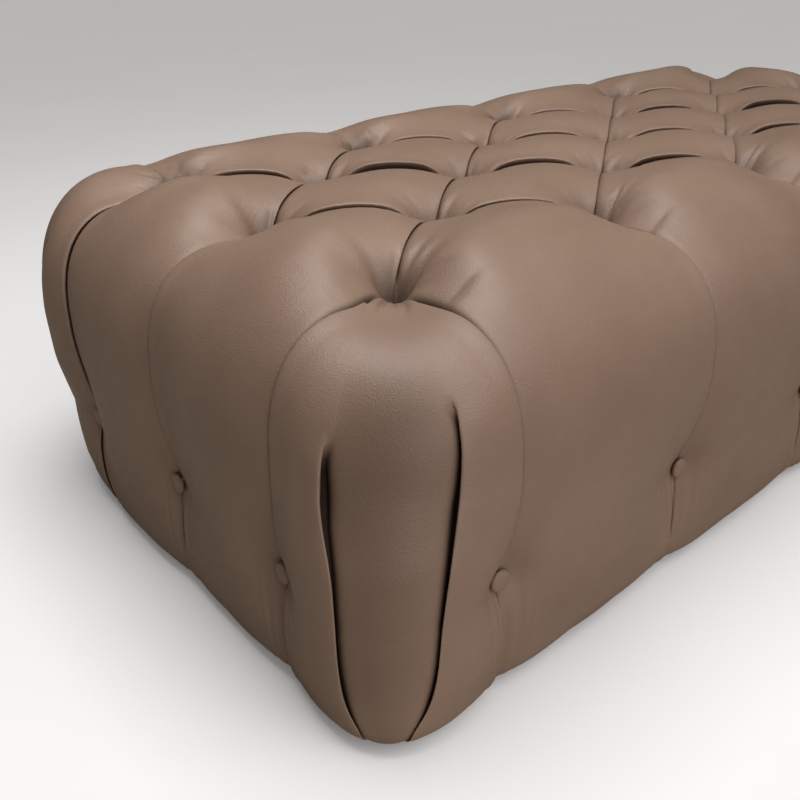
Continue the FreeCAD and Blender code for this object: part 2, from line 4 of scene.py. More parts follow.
import bpy
import numpy as np
from mathutils import Matrix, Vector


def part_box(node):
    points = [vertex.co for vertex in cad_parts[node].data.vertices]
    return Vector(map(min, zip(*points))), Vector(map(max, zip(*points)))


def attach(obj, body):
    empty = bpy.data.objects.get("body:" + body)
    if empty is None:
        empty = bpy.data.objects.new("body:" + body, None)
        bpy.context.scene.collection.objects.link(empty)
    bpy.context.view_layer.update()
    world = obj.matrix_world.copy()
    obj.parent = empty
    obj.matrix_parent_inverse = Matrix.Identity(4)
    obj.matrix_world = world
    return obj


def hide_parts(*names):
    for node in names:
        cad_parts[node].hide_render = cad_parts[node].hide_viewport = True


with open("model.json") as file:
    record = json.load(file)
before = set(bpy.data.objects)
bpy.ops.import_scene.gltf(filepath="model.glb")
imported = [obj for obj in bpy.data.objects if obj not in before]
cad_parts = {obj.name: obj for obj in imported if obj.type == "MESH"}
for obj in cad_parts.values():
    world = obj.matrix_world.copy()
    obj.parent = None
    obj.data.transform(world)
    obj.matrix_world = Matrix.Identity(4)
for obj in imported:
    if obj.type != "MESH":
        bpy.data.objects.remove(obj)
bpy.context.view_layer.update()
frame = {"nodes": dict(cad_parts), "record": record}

# Sizes are in millimetres, and the frame is in metres
millimetre = 0.001
metre = 1000.0

# Tufting layout
tuft_columns = 5
tuft_rows = 3
tuft_pitch_x = 260.0
tuft_pitch_y = 184.0

# Heights of the tufted top above the floor
crown_height = 388.0
lip_fall = 14.0
edge_puff_start = 45.0
edge_puff_run = 73.0
hood_dip_reach = 18.0

# Pits at the tufts, and the valleys that the pleats lie in
pit_depth = 44.0
pit_core_share = 0.65
pit_core = 12.0
pit_radius = 80.0
valley_depth = 10.0
valley_pinch = 12.0
pinch_radius = 24.0
puff_reach = 75.0
side_puff_reach = 130.0
side_puff_run = 40.0
crest_rise = 2.0
crest_pit_share = 0.85
crest_pit_core = 10.0
crest_pit_radius = 60.0

# Padded sides, measured outwards from the outer row of tufts
lip_reach = 65.0
hem_reach = 128.0
shoulder_height = 250.0
button_height = 130.0
hem_radius = 5.0
hem_turn_in = 50.0
hem_bend = 0.3
frame_reach = 100.3
hem_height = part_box("leather_cover")[0][2] * metre + 0.3

# A side's curve down its pleats, and down the middle of its panels
# Reach at the shoulder, button line and hem, and how the curve bends between them
pleat_form = {
    "shoulder": 146.0, "button": 121.0, "hem": hem_reach, "out": 0.58, "sink": 0.0, "rise": 0.72,
    "belly": 3.0, "waist": 0.4, "hollow": 0.28, "knee": 9.0, "knee_drop": 0.25, "ankle": 9.0,
}
panel_form = {
    "shoulder": 156.0, "button": 147.0, "hem": 134.0, "out": 0.48, "sink": 0.14, "rise": 0.51,
    "belly": 0.0, "waist": 0.4, "hollow": 1 / 3, "knee": -1.95, "knee_drop": 1 / 3, "ankle": 5.2,
}

# Each side's pleat height at the lip, puff of its panels, and how far its shoulder is drawn in
lips = {"front": 354.0, "right": 354.0, "back": 376.0, "left": 356.0}
puffs_by_side = {"front": 7.0, "right": 9.0, "back": 11.0, "left": 7.0}
trims = {"front": 0.0, "right": 6.0, "back": 0.0, "left": 8.0}

# How far from a pleat each side's panels take to rise, where they run in under a neighbour
under_puffs = {"front": 55.0, "right": 55.0, "back": 55.0, "left": 72.0}

# Corner hoods: one value at the tuft, lip, shoulder, button line, hem and turned-under edge
hood_roundness = (2.0, 2.2, 2.8, 3.4, 4.0, 4.0)
near_bulge = (0.0, 0.0, -4.0, -2.5, 9.0, 5.0)
far_bulge = (0.0, 4.0, 9.0, -20.0, -12.0, -8.0)
band_widths = (75.0, 90.0, 75.0)
strip_swell = 5.0
middle_swell = 0.6
arch_power = 0.7

# Each hood's bulge and the dip of its top, by the side that starts at its corner
hood_bulges = {"front": near_bulge, "right": near_bulge, "back": far_bulge, "left": far_bulge}
hood_dips = {"front": 8.0, "right": 4.0, "back": -6.0, "left": -12.0}

# Deep folds of a hood: their angles round the corner, at stations of their own
fold_stations = (0.0, 1.6, 1.75, 1.92, 2.22, 2.55, 3.45, 3.75, 4.0, 5.0)
first_fold = (31.0, 31.0, 30.6, 27.8, 28.4, 32.2, 33.0, 34.5, 40.0, 42.0)
second_fold = (65.0, 65.5, 67.0, 66.4, 64.2, 62.0, 59.2, 56.5, 50.0, 48.0)
fold_rounding = (-0.12, -0.06, 0.0, 0.06, 0.12)
fold_tops = (1.78, 1.6)
fold_top_run = 0.16
fold_foot = (3.9, 4.15)
fold_foot_loss = 0.8
fold_mouths = (3.0, 0.2)
mouth_drop = 0.22
mouth_length = 0.24
least_mouth = 0.3

# Spans of stations where a hood fills out, is recessed between its folds, and gets painted shade there
full_span = (1.9, 2.6)
recess_top = (1.3, 1.9)
recess_foot = (3.6, 4.0)
hollow_span = (1.78, 2.18)
hollow_station = 2.25
hollow_length = 0.4
shade_top = (1.1, 1.7)
shade_foot = (2.4, 3.6)
shade_loss = 0.35

# Pleats: how the leather of one panel folds over its neighbour
pleat_overlap = 8.0
pleat_depth = 6.0
pleat_reach = 46.0
nose_reach = 3.2
nose_stretch = 5.0
under_reach = 5.0
under_tuck = 10.0
mouth_reach = 16.0
mouth_nose = 0.3
mouth_dip = 0.4
# Width of the paler band on a fold's nose, partly wear and partly painted highlight
worn_highlit_width = 2.5
tuft_hold = 0.2
tuft_hold_reach = 6.0
fold_run = 26.0
side_pleat_overlap = 6.0
side_pleat_depth = 3.2
side_pleat_lip = 1.6
side_dip = 4.2
side_hold = 0.15
side_fold_run = 30.0
button_hold = 0.7
button_hold_reach = 15.0
hem_hold = 0.85
hem_span = (3.95, 4.2)
side_lip_width = 14.0
corner_overlap = 10.0
corner_depth = 6.0
corner_lip = 1.5
corner_lip_width = 20.0
corner_dip = 5.5
corner_recess = 5.0
corner_hollow = 2.0
# Strength of the painted shade in a hood's recessed middle
corner_shade = 0.32

# Open mouths of the pleats that run to the right and front
# Each is named by its pleat's middle, in pitches from the centre
narrow_mouth = 2.5
mouth_span = (0.06, 0.33)
open_mouths = {
    (-1.25, 0.25): 7.0, (-0.75, -0.25): 5.0, (-1.25, -0.75): 0.5, (-0.25, -0.75): 4.5,
    (0.75, 0.25): 4.5, (1.25, -0.25): 8.0, (0.75, -0.75): 4.0, (-1.75, 0.75): 3.5,
}

# The near corner's left pleat bows towards the corner
bow_size = 12.0
bow_width = 50.0
bow_foot = 150.0
bow_run = 80.0
bow_start = 20.0
bow_out_run = 40.0

# Creases and waves
creases_at_tuft = 15
crease_depth = (1.4, 3.4)
crease_length = (36.0, 64.0)
crease_width = (2.0, 3.4)
crease_start = 13.0
crease_run = 14.0
crease_spread = 55.0
crease_neck = 0.6
crease_rim = 0.6
crease_hold = 0.35
crease_curl = 0.006
crease_jitter = 0.12
smooth_margin = 6.0
# Painted shade at the bottoms of the tufts
pit_shade = 0.85
pit_shade_reach = 20.0
wave_count = 14
wave_size = 0.55
wave_length = (70.0, 190.0)

# Upright ripples beside the side pleats, where the buttons gather the leather
gather_size = 2.6
gather_pitch = 11.0
gather_reach = 20.0
gather_height = 85.0
gather_spread = 55.0

# Covered buttons
button_radius = 10.5
button_depth = 6.0
pucker_count = 11
pucker_depth = 0.035
button_edge = 0.75
button_crown = 0.6
dimple_radius = 17.0

# Inner layers, as insets from the leather's face
wadding_inset = 19.0
wadding_thickness = 6.0
foam_inset = wadding_inset + wadding_thickness + 0.5

# Mesh spacing
fold_step = 1.2
fold_zone = 5.0
step_growth = 1.3
near_step = 3.2
near_zone = 40.0
largest_step = 9.0
panel_rows = (15, 10, 9, 6)
hood_rows = (20, 16, 14, 7)
hem_margin = 40.0
button_steps = (34, 15)
welds_per_millimetre = 20
coarse = np.linspace(0, 1, 9)
coarse_top = np.linspace(0, 1, 7)

field_half_x = tuft_pitch_x * (tuft_columns - 1) / 2
field_half_y = tuft_pitch_y * (tuft_rows - 1) / 2
button_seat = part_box("side_button_caps")[1][0] * metre - field_half_x - button_depth
up = np.array((0.0, 0.0, 1.0))
random = np.random.default_rng(7)


# Small helpers

def share(start, end, amount):
    return start + (end - start) * amount


def ease(value):
    value = np.clip(value, 0.0, 1.0)
    return value * value * (3 - 2 * value)


def rising(value, span):
    """From 0 at the start of a span to 1 at its end."""
    return ease((value - span[0]) / (span[1] - span[0]))


def falling(distance, reach):
    """From 1 at no distance down to 0 at a reach, in a curve."""
    return np.clip(1 - distance / reach, 0, 1) ** 2


def bell(offset, width):
    """1 at no offset, falling away on both sides over a width."""
    return np.exp(-(offset / width) ** 2)


def vector(x, y, z=0.0):
    return np.array((x, y, z), float)


def along_axis(amount, axis):
    return np.asarray(amount)[..., None] * axis


def at_station(values, w):
    """A value given at whole stations, read at station w."""
    return np.interp(w, np.arange(len(values)), values)


def centred(count, pitch):
    return [pitch * (i - (count - 1) / 2) for i in range(count)]


def grid(columns, rows):
    return [vector(x, y) for x in columns for y in rows]


outer_columns = centred(tuft_columns, tuft_pitch_x)
outer_rows = centred(tuft_rows, tuft_pitch_y)
middle_columns = centred(tuft_columns - 1, tuft_pitch_x)
middle_rows = centred(tuft_rows - 1, tuft_pitch_y)
tufts = grid(outer_columns, outer_rows) + grid(middle_columns, middle_rows)
diamonds = grid(middle_columns, outer_rows[1:-1]) + grid(outer_columns[1:-1], middle_rows)


def from_fold(length):
    """Shares of a length, close together at the fold where it starts and wider away from it."""
    places, step = [0.0], fold_step
    while places[-1] + step < length:
        places.append(places[-1] + step)
        if places[-1] >= fold_zone:
            step = min(step * step_growth, near_step if places[-1] < near_zone else largest_step)
    return np.array(places + [length]) / length


def between_folds(length):
    half = from_fold(length / 2) / 2
    return np.concatenate((half, 1 - half[-2::-1]))


def stations(top, counts):
    """Stations down a side: the given ones on the top, and even steps past the lip."""
    rest = [np.linspace(i + 1, i + 2, count + 1)[1:] for i, count in enumerate(counts)]
    return np.concatenate([top] + rest)


# Height of the top

def pit_profile(radius):
    """How far one tuft draws the top down, at a distance from it."""
    return pit_depth * share(falling(radius, pit_radius), np.exp(-radius / pit_core), pit_core_share)


def pinch_profile(radius):
    """How much deeper a pleat's valley gets near a tuft."""
    return valley_pinch * bell(radius, pinch_radius)


def over_tufts(profile, place):
    return sum(profile(np.hypot(place[..., 0] - tuft[0], place[..., 1] - tuft[1])) for tuft in tufts)


def rounded(distance, reach=puff_reach):
    """Share of a puff's rise at a distance from a pleat."""
    return 1 - falling(distance, reach)


def edge_base(reach):
    """Height of an edge panel without its puff and valleys, at a reach past the outer tufts."""
    return crown_height - lip_fall * (np.clip(reach, 0, None) / lip_reach) ** 2


def saddle_curve(q, length):
    """Height of a pleat between two tufts of the top."""
    radius = np.minimum(q, 1 - q) * length
    return crown_height - valley_depth - pit_profile(radius) - pinch_profile(radius)


# Curves of the sides, in (reach, height)
# Stations: 0 tuft, 1 lip, 2 shoulder, 3 button line, 4 hem, 5 turned-under edge

def bezier(poles, t):
    s = 1 - t
    weights = (s * s * s, 3 * s * s * t, 3 * s * t * t, t * t * t)
    return [sum(weight * pole[axis] for weight, pole in zip(weights, poles)) for axis in (0, 1)]


def hem_turn(foot, t, inset):
    """The hem rounds the lower edge and lies flat under the frame."""
    bend = np.clip(t / hem_bend, 0, 1) * math.pi / 2
    run = np.clip((t - hem_bend) / (1 - hem_bend), 0, 1)
    start = foot - hem_radius
    edge = hem_reach - hem_turn_in - inset
    reach = np.where(run > 0, share(start, edge, run), start + hem_radius * np.cos(bend))
    return [reach, hem_height + inset + hem_radius * (1 - np.sin(bend))]


def past_lip(form, lip, trim, w, inset):
    """Reach and height of a side's curve at stations past the lip."""
    shoulder, line, foot = form["shoulder"] - trim - inset, form["button"] - inset, form["hem"] - inset
    floor = hem_height + hem_radius + inset
    fall, drop = shoulder_height - button_height, button_height - floor
    spans = [
        [(lip_reach, lip),
         (share(lip_reach, shoulder, form["out"]), share(lip, shoulder_height, form["sink"])),
         (shoulder, share(shoulder_height, lip, form["rise"])),
         (shoulder, shoulder_height)],
        [(shoulder, shoulder_height),
         (shoulder + form["belly"], shoulder_height - fall / 3),
         (share(line, shoulder, form["waist"]), button_height + fall * form["hollow"]),
         (line, button_height)],
        [(line, button_height),
         (line + form["knee"], button_height - drop * form["knee_drop"]),
         (foot + form["ankle"], floor + drop / 3),
         (foot, floor)],
    ]
    curve = np.zeros((2, *w.shape))
    for station in range(1, 5):
        inside = (w >= station) & (w <= station + 1)
        t = w[inside] - station
        curve[:, inside] = bezier(spans[station - 1], t) if station < 4 else hem_turn(foot, t, inset)
    return curve


class Side:
    """One upholstered side: it starts at a corner tuft and runs along the outer tufts."""

    def __init__(self, name, start, along, count, pitch, inner_reach):
        self.name = name
        self.start = start
        self.along = along
        self.outward = np.cross(along, up)
        self.count = count
        self.pitch = pitch
        self.inner_reach = inner_reach
        self.lip = lips[name]
        self.puff = puffs_by_side[name]
        self.trim = trims[name]

    def tufts(self):
        return [self.start + self.along * (self.pitch * i) for i in range(self.count)]

    def middles(self):
        return [self.start + self.along * (self.pitch * (i + 0.5)) for i in range(self.count - 1)]

    def puff_height(self, reach):
        """How far the middle of an edge panel rises above its base."""
        return self.puff * ease((reach + edge_puff_start) / edge_puff_run)

    def crest(self, reach):
        """Height of a side pleat between its tuft and the lip."""
        floor = crown_height - valley_depth - pit_depth - valley_pinch
        pit = share(falling(reach, crest_pit_radius), bell(reach, crest_pit_core), crest_pit_share)
        level = self.lip - crest_rise * (1 - reach / lip_reach)
        return level - (self.lip - crest_rise - floor) * pit

    def valley(self, reach):
        """Depth of the side pleats' valleys, apart from the pinch at the tufts."""
        out = np.clip(reach, 0, lip_reach)
        depth = edge_base(out) - pit_profile(out) - pinch_profile(out) - self.crest(out)
        return np.where(reach > 0, depth, valley_depth)

    def pleat_curve(self, w, inset=0.0):
        """The pleat from an outer tuft over the edge and past a side button to the hem."""
        curve = past_lip(pleat_form, self.lip - inset, self.trim, w, inset)
        on_top = w < 1
        reach = lip_reach * w[on_top]
        curve[:, on_top] = reach, self.crest(reach) - inset
        return curve

    def middle_curve(self, w, inset=0.0):
        """The middle of an edge panel, from the lip to the hem."""
        lip = edge_base(lip_reach) + self.puff_height(lip_reach) - inset
        return past_lip(panel_form, lip, self.trim, w, inset)

    def pleat_normal(self, w):
        """Direction square to the pleat, outwards and up."""
        step = 0.004
        run, rise = self.pleat_curve(np.clip(w + step, 0, 5)) - self.pleat_curve(np.clip(w - step, 0, 5))
        size = np.hypot(run, rise)
        return along_axis(-rise / size, self.outward) + along_axis(run / size, up)


def make_sides():
    x, y = field_half_x, field_half_y
    length = (tuft_columns, tuft_pitch_x, tuft_pitch_y / 2)
    depth = (tuft_rows, tuft_pitch_y, tuft_pitch_x / 2)
    return [
        Side("front", vector(-x, -y), vector(1, 0), *length),
        Side("right", vector(x, -y), vector(0, 1), *depth),
        Side("back", vector(x, y), vector(-1, 0), *length),
        Side("left", vector(-x, y), vector(0, -1), *depth),
    ]


sides = make_sides()


# Folded pleats

class Fold:
    """How the leather lies along one pleat: overlap, depth, raised lip and open mouth, in millimetres."""

    def __init__(self, overlap, depth, lip=0.0, mouth=0.0, lip_width=side_lip_width, dip=under_reach):
        self.overlap = overlap
        self.depth = depth
        self.lip = lip
        self.mouth = mouth
        self.lip_width = lip_width
        self.dip_width = dip + mouth_dip * mouth

    def over(self, d):
        """Shift across and out, of the panel whose rolled edge lies on top."""
        tuck = bell(d, nose_reach)
        stretch = nose_stretch * falling(d, pleat_reach)
        opened = self.mouth * bell(d, mouth_reach)
        raised = self.lip * (1 - ease(d / self.lip_width - 0.5))
        across = stretch - (self.overlap + nose_stretch) * tuck
        return across, (1 - tuck) * (opened + raised) - (self.depth + self.mouth) * tuck

    def under(self, d):
        """Shift across and out, of the panel that runs in under its neighbour's edge."""
        return self.overlap * bell(d, under_tuck), -(self.depth + self.mouth) * bell(d, self.dip_width)


class Draped:
    """Points of a patch of leather, with a paler band on its fold edges, partly wear and partly painted
    highlight, and the painted shade of its folds.
    """

    def __init__(self, points):
        self.points = points
        self.edge = np.zeros(points.shape[:2])
        self.depth = np.zeros(points.shape[:2])

    def fold(self, fold, d, is_over, outside, out, strength):
        """Fold the patch along a pleat at distance d, with its directions across and out."""
        across, lift = fold.over(d) if is_over else fold.under(d)
        self.points = self.points + along_axis(across * strength, outside)
        self.points = self.points + along_axis(lift * strength, out)
        # Paler band on the over panel's nose: partly wear, partly painted highlight
        nose = nose_reach + mouth_nose * fold.mouth
        if is_over:
            self.edge = np.maximum(self.edge, strength * bell(d - nose - 1, worn_highlit_width))
        # Painted shade in the fold: on the over panel's tucked-under edge and in the under panel's dip
        dark = nose if is_over else fold.dip_width
        self.depth = np.maximum(self.depth, strength * np.exp(-(d / dark) ** 4))

    def shade_pits(self):
        """Painted shade at the bottoms of the tufts, like that in the folds."""
        x, y, z = np.moveaxis(self.points, -1, 0)
        for tuft in tufts:
            radius = np.hypot(x - tuft[0], y - tuft[1])
            shade = pit_shade * bell(radius, pit_shade_reach)
            self.depth = np.maximum(self.depth, shade * (z > shoulder_height))

    def lay(self, skin, outward):
        """Add the patch to the cover."""
        self.shade_pits()
        skin.add(dimpled(bowed(self.points)), outward, self.edge, self.depth)


def top_mouth(middle, run, near):
    """Pleats that run to the right and back are tight, and the others open into dark mouths."""
    place = (round(middle[0] / tuft_pitch_x, 2), round(middle[1] / tuft_pitch_y, 2))
    mouth = open_mouths.get(place, narrow_mouth) if run[0] * run[1] < 0 else 0.0
    return mouth * rising(near, mouth_span)


def fold_top_pleat(patch, a, b, d, q, middle):
    """Fold of a panel's edge along the pleat from tuft a to tuft b. middle lies in the panel."""
    length = np.linalg.norm(b - a)
    inside = np.cross(up, (b - a) / length)
    inside = inside * np.sign(inside @ (middle - a))
    step = 0.01
    rise = saddle_curve(np.clip(q + step, 0, 1), length) - saddle_curve(np.clip(q - step, 0, 1), length)
    slope = rise / (2 * step * length)
    out = (up - along_axis(slope, (b - a) / length)) / np.sqrt(1 + slope ** 2)[..., None]
    near = np.minimum(q, 1 - q)
    strength = share(tuft_hold, 1, ease((near * length - tuft_hold_reach) / fold_run))
    fold = Fold(pleat_overlap, pleat_depth, mouth=top_mouth((a + b) / 2, b - a, near))
    patch.fold(fold, d, inside[1] > 0, -inside, out, strength * (d < pleat_reach))


side_fold = Fold(side_pleat_overlap, side_pleat_depth, lip=side_pleat_lip, dip=side_dip)


def gathers(d, height):
    """How far the ripples beside a side pleat stand out, at a distance from it."""
    level = bell(height - gather_height, gather_spread)
    return gather_size * level * np.sin(2 * math.pi * d / gather_pitch) * np.exp(-d / gather_reach)


def fold_side_pleat(patch, side, w, d, outside, is_over):
    """Fold of a panel's edge along the pleat that runs down a side. outside points out of the panel."""
    height = side.pleat_curve(w)[1]
    start = share(side_hold, 1, ease((lip_reach * w - tuft_hold_reach) / side_fold_run))
    button = 1 - button_hold * bell(height - button_height, button_hold_reach) * (w > 2)
    end = 1 - hem_hold * rising(w, hem_span)
    out = side.pleat_normal(w)
    patch.fold(side_fold, d, is_over, outside, out, start * button * end)
    patch.points = patch.points + along_axis(gathers(d, height) * (w > 2), out)


def lies_over(outside):
    """Between two edge panels the nearer one lies over the farther one."""
    return outside[0] + outside[1] > 0


# Soft unevenness: creases that fan out from the tufts, and slow waves

class Crease:
    """One crease that runs out from a tuft and fades."""

    def __init__(self, angle):
        self.angle = angle
        self.curl = random.uniform(-crease_curl, crease_curl)
        self.length = random.uniform(*crease_length)
        self.depth = random.uniform(*crease_depth)
        self.width = random.uniform(*crease_width)

    def sink(self, radius, angle):
        turn = angle - self.angle - self.curl * radius
        turn = (turn + math.pi) % (2 * math.pi) - math.pi
        x = radius * turn / (self.width * (crease_neck + radius / crease_spread))
        start = ease((radius - crease_start) / crease_run)
        end = 1 - rising(radius, (crease_hold * self.length, self.length))
        return -self.depth * start * end * (1 - crease_rim * x * x) * np.exp(-x * x)


def fan_of_creases():
    jitter = random.uniform(-crease_jitter, crease_jitter, creases_at_tuft)
    return [Crease(2 * math.pi * (i + 0.5) / creases_at_tuft + jitter[i]) for i in range(creases_at_tuft)]


tuft_creases = [fan_of_creases() for _ in tufts]
wave_lengths = random.uniform(*wave_length, wave_count)
wave_ways = random.normal(size=(wave_count, 3))
wave_ways *= (2 * math.pi / wave_lengths / np.linalg.norm(wave_ways, axis=1))[:, None]
wave_phases = random.uniform(0, 2 * math.pi, wave_count)


def unevenness(points):
    """Shift along the surface's normal: creases at the tufts, and slow waves all over."""
    shift = (np.sin(points @ wave_ways.T + wave_phases) * wave_size).sum(-1) / math.sqrt(wave_count)
    for tuft, creases in zip(tufts, tuft_creases):
        offset = points[..., :2] - tuft[:2]
        radius = np.hypot(offset[..., 0], offset[..., 1])
        near = (radius < crease_length[1]) & (points[..., 2] > shoulder_height)
        if near.any():
            angle = np.arctan2(offset[near][:, 1], offset[near][:, 0])
            shift[near] += sum(crease.sink(radius[near], angle) for crease in creases)
    return shift


def normals(points):
    normal = np.cross(np.gradient(points, axis=0), np.gradient(points, axis=1))
    return normal / np.maximum(np.linalg.norm(normal, axis=-1, keepdims=True), 1e-9)


def uneven(points, margin, outward):
    """Points with soft unevenness that fades towards the folds."""
    normal = normals(points)
    normal *= np.sign((normal * outward).sum(-1, keepdims=True) + 1e-9)
    shift = unevenness(points) * (1 - bell(margin, smooth_margin))
    return points + along_axis(shift, normal)


def bowed(points):
    """The pleat at the left of the near corner bows towards the corner."""
    x, y, z = np.moveaxis(points, -1, 0)
    rise = ease((z - bow_foot) / bow_run)
    left = ease((-field_half_x - bow_start - x) / bow_out_run)
    size = bow_size * rise * left * bell(y + field_half_y, bow_width)
    return points - along_axis(size, vector(0, 1))


def dimpled(points):
    """The sides are drawn in round their buttons, so that each button lies on the leather."""
    for side in sides:
        for tuft in side.tufts():
            offset = points - tuft - up * button_height
            radius = np.hypot(offset @ side.along, offset[..., 2])
            proud = np.clip(offset @ side.outward - button_seat, 0, None)
            points = points - along_axis(proud / (1 + (radius / dimple_radius) ** 4), side.outward)
    return points


# Meshes from grids of points

class Skin:
    """Grids of points that are welded where they meet."""

    def __init__(self):
        self.points = []
        self.faces = []
        self.edges = []
        self.painted_shade_values = []
        self.count = 0

    def add(self, points, outward, edge=None, depth=None):
        rows, columns = points.shape[:2]
        flip = (normals(points) * outward).sum() < 0
        index = np.arange(rows * columns).reshape(rows, columns) + self.count
        corners = (index[:-1, :-1], index[1:, :-1], index[1:, 1:], index[:-1, 1:])
        faces = np.stack(corners, -1).reshape(-1, 4)
        self.faces.append(faces[:, ::-1] if flip else faces)
        self.points.append(points.reshape(-1, 3))
        plain = np.zeros(rows * columns)
        self.edges.append(plain if edge is None else edge.reshape(-1))
        self.painted_shade_values.append(plain if depth is None else depth.reshape(-1))
        self.count += rows * columns

    def mesh(self, name):
        """One smooth mesh, with the paler band of its fold edges (wear and painted highlight) and the
        painted shade of its folds as attributes.
        """
        points = np.concatenate(self.points)
        keys = np.round(points * welds_per_millimetre).astype(np.int64)
        _, first, place = np.unique(keys, axis=0, return_index=True, return_inverse=True)
        faces = place.reshape(-1)[np.concatenate(self.faces)]
        polygons = [list(dict.fromkeys(face)) for face in faces.tolist()]
        polygons = [polygon for polygon in polygons if len(polygon) > 2]
        mesh = bpy.data.meshes.new(name)
        mesh.from_pydata((points[first] * millimetre).tolist(), [], polygons)
        for label, values in (("worn_highlit_edge", self.edges), ("painted_fold_shade", self.painted_shade_values)):
            attribute = mesh.attributes.new(label, "FLOAT", "POINT")
            attribute.data.foreach_set("value", np.concatenate(values)[first].astype(np.float32))
        mesh.update()
        mesh.shade_smooth()
        return mesh


def segment_distance(x, y, a, b):
    """Distance of (x, y) from the segment a to b, and the foot's share of the way."""
    run, rise = b[0] - a[0], b[1] - a[1]
    q = np.clip(((x - a[0]) * run + (y - a[1]) * rise) / (run * run + rise * rise), 0, 1)
    return np.hypot(x - a[0] - run * q, y - a[1] - rise * q), q


# Edge panels

class Panel:
    """An edge panel: two pleats on top, and a pleat down each side."""

    def __init__(self, side, index):
        self.side = side
        self.middle = side.middles()[index]
        self.half = side.pitch / 2
        self.inner_tuft = self.middle - side.outward * side.inner_reach
        first, last = index == 0, index == side.count - 2
        self.over = {-1: not first and lies_over(-side.along), 1: not last and lies_over(side.along)}

    def side_rise(self, x, y):
        """Share of the panel's rise that its side pleats leave."""
        rise = 1.0
        beside = ease(1 + y / side_puff_run)
        for hand in (-1, 1):
            edge_reach = side_puff_reach if self.over[hand] else under_puffs[self.side.name]
            reach = share(puff_reach, edge_reach, beside)
            rise = rise * rounded(np.hypot(self.half - hand * x, np.clip(-y, 0, None)), reach)
        return rise

    def top_distances(self, x, y):
        """Distances from the two top pleats, with the feet's shares of the way out."""
        inner = (0, -self.side.inner_reach)
        return {hand: segment_distance(x, y, inner, (hand * self.half, 0)) for hand in (-1, 1)}

    def top_height(self, x, y):
        side = self.side
        place = self.middle + along_axis(x, side.along) + along_axis(y, side.outward)
        inward = 1 - ease(y / lip_reach)
        rise = self.side_rise(x, y)
        for d, _ in self.top_distances(x, y).values():
            rise = rise * (1 - inward * (1 - rounded(d)))
        valley = side.valley(y) + over_tufts(pinch_profile, place)
        base = edge_base(y) - over_tufts(pit_profile, place)
        return base + side.puff_height(y) * rise - valley * (1 - rise)

    def plan(self, w, s):
        """Lateral place and reach of the top at stations w and shares s of the half width."""
        start = -self.side.inner_reach * (1 - np.abs(s))
        return s * self.half, share(start, lip_reach, np.clip(w, 0, 1))

    def points(self, w, s, inset=0.0):
        """Base form of the panel."""
        side = self.side
        x, y = self.plan(w, s)
        beyond = np.clip(w, 1, 5)
        rise = self.side_rise(x, np.full_like(y, lip_reach))
        past = share(side.pleat_curve(beyond, inset), side.middle_curve(beyond, inset), rise)
        reach, height = np.where(w < 1, np.stack((y, self.top_height(x, y) - inset)), past)
        across = self.middle + along_axis(x, side.along)
        return across + along_axis(reach, side.outward) + along_axis(height, up)

    def coarse_points(self, w, inset):
        s, w = np.meshgrid(np.linspace(-1, 1, 2 * len(coarse) - 1), w)
        return self.points(w, s, inset)

    def add_leather(self, skin):
        side = self.side
        rows = stations(from_fold(lip_reach + side.inner_reach), panel_rows)
        s, w = np.meshgrid(2 * between_folds(side.pitch) - 1, rows)
        x, y = self.plan(w, s)
        to_top = {}
        for hand, (d, q) in self.top_distances(x, y).items():
            to_top[hand] = np.where(w < 1, d, puff_reach), q
        margin = np.minimum(np.minimum(to_top[-1][0], to_top[1][0]), self.half * (1 - np.abs(s)))
        outward = side.outward + up
        patch = Draped(uneven(self.points(w, s), np.minimum(margin, (5 - w) * hem_margin), outward))
        for hand in (-1, 1):
            outer_tuft = self.middle + side.along * (hand * self.half)
            fold_top_pleat(patch, self.inner_tuft, outer_tuft, *to_top[hand], self.middle)
        for hand in (-1, 1):
            fold_side_pleat(patch, side, w, self.half * (1 - hand * s), side.along * hand, self.over[hand])
        patch.lay(skin, outward)


# Diamond puffs

class Diamond:
    """A full puff between four tufts, with a pleat on each of its edges."""

    def __init__(self, centre):
        self.centre = centre
        right, back = vector(tuft_pitch_x / 2, 0), vector(0, tuft_pitch_y / 2)
        self.corners = [centre - back, centre + right, centre + back, centre - right]
        self.width = tuft_pitch_x * tuft_pitch_y / 2 / np.linalg.norm(right + back)

    def points(self, u, v, inset=0.0):
        start, right, _, left = self.corners
        place = start + along_axis(u, right - start) + along_axis(v, left - start)
        rise = rounded(self.width * np.minimum(u, 1 - u)) * rounded(self.width * np.minimum(v, 1 - v))
        valley = valley_depth + over_tufts(pinch_profile, place)
        height = crown_height - over_tufts(pit_profile, place) - valley * (1 - rise) - inset
        return place + along_axis(height, up)

    def coarse_points(self, inset):
        u, v = np.meshgrid(coarse, coarse)
        return self.points(u, v, inset)

    def add_leather(self, skin):
        u, v = np.meshgrid(between_folds(self.width), between_folds(self.width))
        margin = self.width * np.minimum(np.minimum(u, 1 - u), np.minimum(v, 1 - v))
        patch = Draped(uneven(self.points(u, v), margin, up))
        for a, b, away, q in ((0, 1, v, u), (3, 2, 1 - v, u), (0, 3, u, v), (1, 2, 1 - u, v)):
            fold_top_pleat(patch, self.corners[a], self.corners[b], self.width * away, q, self.centre)
        patch.lay(skin, up)


# Corner hoods

def rounded_angle(angles, w):
    """A fold's angle at station w, with the corners of its line rounded off."""
    nearby = [np.interp(w + offset, fold_stations, angles) for offset in fold_rounding]
    return np.radians(np.mean(nearby, axis=0))


